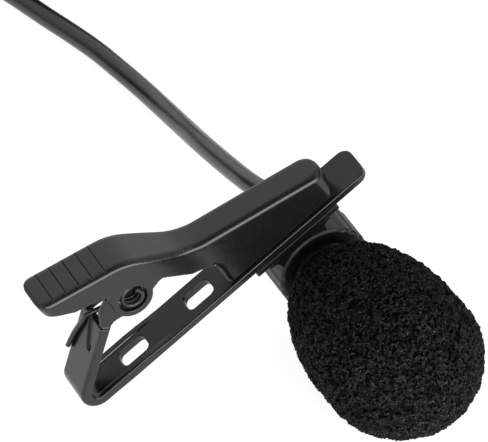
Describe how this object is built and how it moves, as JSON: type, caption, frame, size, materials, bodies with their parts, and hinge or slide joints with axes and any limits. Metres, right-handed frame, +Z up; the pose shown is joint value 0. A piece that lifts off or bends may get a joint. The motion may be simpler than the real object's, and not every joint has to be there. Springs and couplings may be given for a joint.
{
  "type": "lavalier microphone",
  "caption": "Small clip-on lavalier microphone: sprung steel clip with a moulded holder, foam windscreen, a coiled cord and a 3.5 mm plug",
  "frame": {"origin": "middle of the bounding box of clip, microphone and windscreen at the height of the ground, cord left out", "axes": "+Y along the microphone's axis from its front to its cord end, +X across the microphone towards the foam's side and away from the clip's thumb pad, +Z up from the ground the clip lies on"},
  "size_m": [0.076, 0.1605, 0.0258],
  "materials": {
    "black_steel": "satin black paint on steel",
    "spring_steel": "blackened wire",
    "black_plastic": "satin moulded plastic",
    "black_metal": "satin black aluminium",
    "bright_metal": "nickel plate",
    "aluminium": "drawn can",
    "felt": "felt",
    "gasket_rubber": "soft rubber",
    "board": "circuit board",
    "wire_insulation": "wire insulation",
    "brass": "crimped brass",
    "foam": "open-cell foam",
    "cord_jacket": "soft black cord jacket"
  },
  "bodies": {
    "clip_and_microphone": {"lower_jaw": "black_steel", "torsion_spring": "spring_steel", "mic_holder": "black_plastic", "holder_rivet": "spring_steel", "mic_housing": "black_metal", "front_grille": "bright_metal", "felt_disc": "felt", "electret_capsule": "aluminium", "capsule_gasket": "gasket_rubber", "capsule_board": "board", "signal_wire": "wire_insulation", "ground_wire": "gasket_rubber", "cable_ferrule": "brass", "rear_cap": "black_plastic", "strain_relief": "cord_jacket", "cord": "cord_jacket", "cord_coil": "cord_jacket", "cord_tie": "black_plastic", "cord_tail": "cord_jacket", "plug_relief": "cord_jacket", "plug_cover": "black_plastic", "plug_sleeve": "bright_metal", "plug_ring": "bright_metal", "plug_tip": "bright_metal", "sleeve_insulator": "black_plastic", "tip_insulator": "black_plastic"},
    "upper_lever": {"upper_lever": "black_steel"},
    "windscreen": {"windscreen": "foam"}
  },
  "joints": [
    {"name": "jaw_open", "type": "hinge", "parent": "clip_and_microphone", "child": "upper_lever", "pos_m": [-0.01229, 0.0099, 0.01632], "axis": [0, -1, 0], "range_deg": [0, 40], "stiffness_Nm_per_rad": 0.02, "springref_deg": -57.3},
    {"name": "windscreen_pull", "type": "slide", "parent": "clip_and_microphone", "child": "windscreen", "axis": [0, -1, 0], "range_m": [0, 0.012]}
  ]
}
